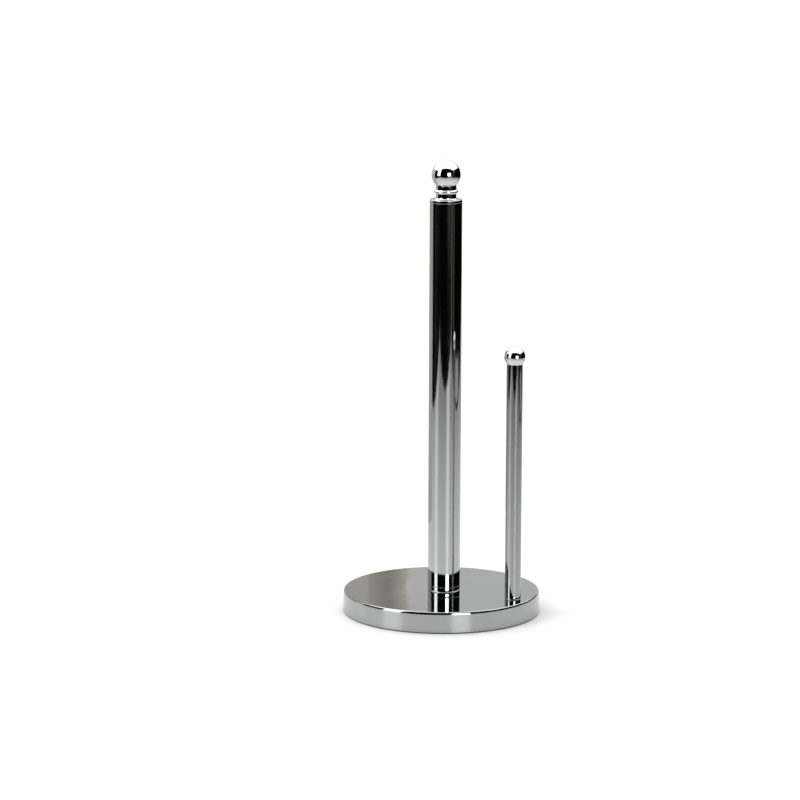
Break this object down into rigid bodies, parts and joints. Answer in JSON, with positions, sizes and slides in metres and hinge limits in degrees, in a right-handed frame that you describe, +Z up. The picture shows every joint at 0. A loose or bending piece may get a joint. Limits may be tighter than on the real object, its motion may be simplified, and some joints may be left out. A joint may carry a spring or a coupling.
{
  "type": "paper towel holder",
  "caption": "Free-standing paper towel holder: weighted round base, upright post with a screw-on ball finial, and a thin side rod with a ball end that keeps the roll from unwinding.",
  "frame": {"origin": "on the table, under the middle of the base, in the plane of the foot pad's underside", "axes": "+Z up along the post; +X from the post towards the side rod"},
  "size_m": [0.1524, 0.1524, 0.352],
  "materials": {
    "chrome": "mirror-polished chrome plate",
    "cast_iron": "as cast, painted grey",
    "zinc_plated_steel": "zinc-plated sheet",
    "screw_steel": "bright zinc plate",
    "nylon": "natural nylon",
    "foam_rubber": "matte closed-cell foam"
  },
  "bodies": {
    "stand": {"base_shell": "chrome", "base_weight": "cast_iron", "base_plate": "zinc_plated_steel", "base_pad": "foam_rubber", "base_plate_screw_1": "screw_steel", "base_plate_screw_2": "screw_steel", "base_plate_screw_3": "screw_steel", "post_foot_plug": "chrome", "post_tube": "chrome", "post_top_cap": "chrome", "post_bolt": "screw_steel", "post_spring_washer": "screw_steel", "post_flat_washer": "screw_steel", "finial_stud": "screw_steel", "side_rod": "chrome", "side_rod_ball": "chrome", "side_rod_stud": "screw_steel", "side_rod_bolt": "screw_steel", "side_rod_spring_washer": "screw_steel", "side_rod_flat_washer": "screw_steel"},
    "finial_carriage": {"finial_washer": "nylon"},
    "finial": {"finial": "chrome"}
  },
  "joints": [
    {"name": "finial_rise", "type": "slide", "parent": "stand", "child": "finial_carriage", "axis": [0, 0, 1], "range_m": [0, 0.0065]},
    {"name": "finial_turn", "type": "hinge", "parent": "finial_carriage", "child": "finial", "pos_m": [0.0022, 0, 0.3224], "axis": [0, 0, 1], "range_deg": [0, 2358]}
  ],
  "couplings": [
    {"joint": "finial_turn", "follows": "finial_rise", "rad_per_m": 6283.2}
  ]
}
